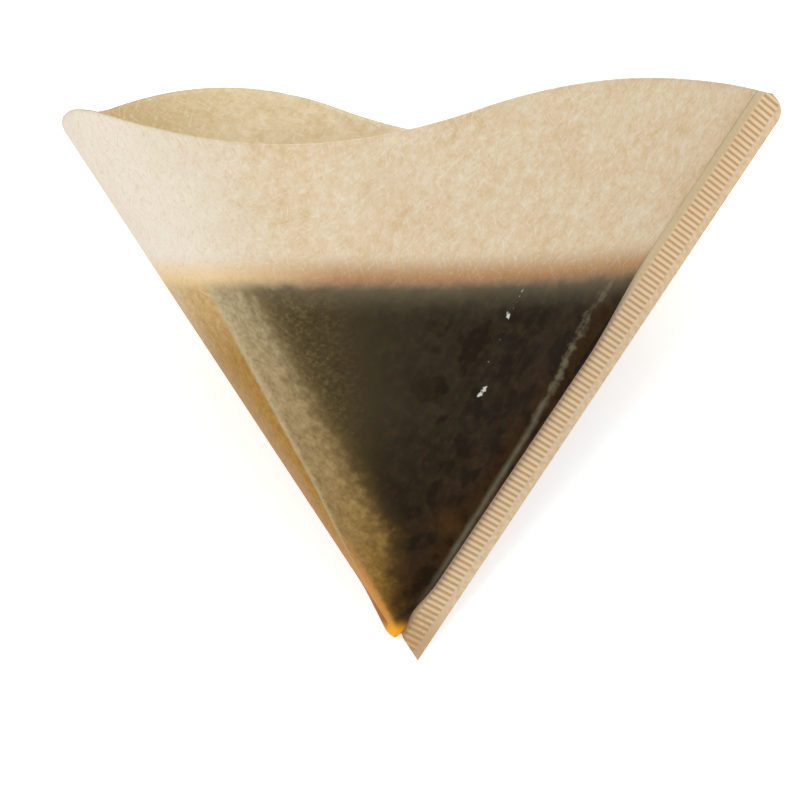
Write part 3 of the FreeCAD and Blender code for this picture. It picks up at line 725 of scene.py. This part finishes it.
def crimped_paper():
    made, tree = material("Crimped filter paper")
    where = add(tree, "UVMap", uv_map="Along the band")
    across = add(tree, "SeparateXYZ", [where])
    along = across.node.outputs[1]
    speckle = add(tree, "TexNoise", {0: where, "Scale": 1.1, "Detail": 3.0})
    mottle = add(tree, "TexNoise", {0: where, "Scale": 0.4, "Detail": 2.0})
    plain = add(tree, "ValToRGB", [speckle], stops=((0.35, "#DAC3A4"), (0.65, "#C8B08F")))
    # The pressed inner edge is darker: pressed paper, with painted shade in its shallow groove
    pressed_edge_and_shade = add(tree, "MapRange", [across, 1.4, 1.1, 0.0, 0.85])
    plain = add(tree, "MixRGB", [pressed_edge_and_shade, plain, "#C5B493"])
    phase = add(tree, "Math", [along, CRIMP_START], operation="SUBTRACT")
    phase = add(tree, "Math", [phase, 2 * math.pi / CRIMP_PITCH], operation="MULTIPLY")
    tooth = add(tree, "Math", [phase], operation="SINE")
    ridge = add(tree, "MapRange", [tooth, -1.0, 0.4, 0.0, 1.0], interpolation_type="SMOOTHSTEP")
    # Painted light on the tops of the teeth and painted shade in the grooves, over the browner pressed paper
    top = add(tree, "MixRGB", [mottle, "#E1CCAE", "#D8BE9A"])
    groove_pressed_and_shaded = add(tree, "MixRGB", [speckle, "#C1A077", "#B6926A"])
    crimp = add(tree, "MixRGB", [ridge, top, groove_pressed_and_shaded])
    inner, outer = CRIMP_INSET, CRIMP_INSET + CRIMP_WIDTH
    past_inner = add(tree, "MapRange", [across, inner - 0.2, inner + 0.15, 0.0, 1.0])
    before_outer = add(tree, "MapRange", [across, outer + 0.2, outer - 0.15, 0.0, 1.0])
    on_row = add(tree, "Math", [past_inner, before_outer], operation="MULTIPLY")
    colour = add(tree, "MixRGB", [on_row, plain, crimp])
    reached = add(tree, "Math", [speckle, 12.0, along], operation="MULTIPLY_ADD")
    stain = add(tree, "MapRange", [reached, 16.0, 6.0, 0.0, 0.5], interpolation_type="SMOOTHSTEP")
    colour = add(tree, "MixRGB", [stain, colour, "#A07A48"])
    seep = add(tree, "MapRange", [along, 7.0, 2.0, 0.0, 0.85], interpolation_type="SMOOTHSTEP")
    by_seam = add(tree, "MapRange", [across, 2.2, 0.9, 0.0, 1.0])
    seep = add(tree, "Math", [seep, by_seam], operation="MULTIPLY")
    colour = add(tree, "MixRGB", [seep, colour, "#7A4A2C"])
    paper_surface(tree, colour, 0.88, speckle, 0.3)
    return made


band.data.materials.append(crimped_paper())
print("band slot:", band.data.materials[0].name)

# %% [markdown]
# ## Floor, light and camera
# The filter was photographed on plain white, so the floor is white to the camera and still keeps a
# soft shadow. The light is wide and soft, stronger from the left.

# %% Floor
bpy.ops.mesh.primitive_plane_add(size=6)
floor = bpy.context.object
floor.name = "floor"
white, tree = material("White backdrop paper")
matte = add(tree, "BsdfDiffuse", {"Color": "#F4F3F1"})
glow = add(tree, "Emission", {"Color": "#FFFFFF", "Strength": 0.45})
path = add(tree, "LightPath")
seen_by = add(tree, "Math", [path, path.node.outputs["Is Glossy Ray"]], operation="MAXIMUM")
seen_by = add(tree, "Math", [seen_by, path.node.outputs["Is Transmission Ray"]], operation="MAXIMUM")
lifted = add(tree, "AddShader", [matte, glow])
add(tree, "OutputMaterial", [add(tree, "MixShader", [seen_by, matte, lifted])])
floor.data.materials.append(white)
print("floor at", floor.location[:])

# %% Light
world = bpy.data.worlds.new("Soft studio")
bpy.context.scene.world = world
world.use_nodes = True
tree = world.node_tree
tree.nodes.clear()
path = add(tree, "LightPath")
seen_by = add(tree, "Math", [path, path.node.outputs["Is Glossy Ray"]], operation="MAXIMUM")
seen_by = add(tree, "Math", [seen_by, path.node.outputs["Is Transmission Ray"]], operation="MAXIMUM")
strength = add(tree, "MapRange", [seen_by, 0.0, 1.0, 0.58, 1.0])
add(tree, "OutputWorld", [add(tree, "Background", ["#FFFFFF", strength])])


def lamp(name, place, size, watts):
    """A soft square lamp that looks at the filter."""
    bpy.ops.object.light_add(type="AREA", location=place)
    made = bpy.context.object
    made.name = name
    made.data.shape, made.data.size, made.data.energy = "SQUARE", size, watts
    made.rotation_euler = (Vector((0, 0, 0.03)) - Vector(place)).to_track_quat("-Z", "Y").to_euler()


lamp("key_light", (-0.9, -0.7, 1.3), 0.8, 10.5)
lamp("fill_light", (0.9, -0.2, 1.2), 0.9, 6)
lamp("mouth_light", (0.1, 1.3, 0.8), 0.8, 7.5)

# %% [markdown]
# ## Camera
# The photograph looks straight at the front panel, with the fold and the seam at equal distances.
# A long lens keeps the depth of the mouth from spreading, as in the photograph.

# %% Camera
LENS, SENSOR = 1600.0, 36.0
FRAME_WIDTH = 145.36
LOOK_AT = Vector((0.96, 0.0, 42.4))
distance = FRAME_WIDTH * LENS / SENSOR
camera = bpy.data.objects.new("camera", bpy.data.cameras.new("camera"))
bpy.context.collection.objects.link(camera)
camera.data.lens, camera.data.sensor_width = LENS, SENSOR
eye = Vector(laid([tuple(LOOK_AT - Vector((0, distance, 0)))])[0])
turn = Matrix((LAY @ Vector((1, 0, 0)), LAY @ Vector((0, 0, 1)), LAY @ Vector((0, -1, 0)))).transposed()
camera.matrix_world = Matrix.Translation(eye) @ turn.to_4x4()
camera.data.clip_start, camera.data.clip_end = 0.5, 40
bpy.context.scene.camera = camera
bpy.context.scene.view_settings.view_transform = "Standard"
print("camera at", [round(v, 3) for v in eye])
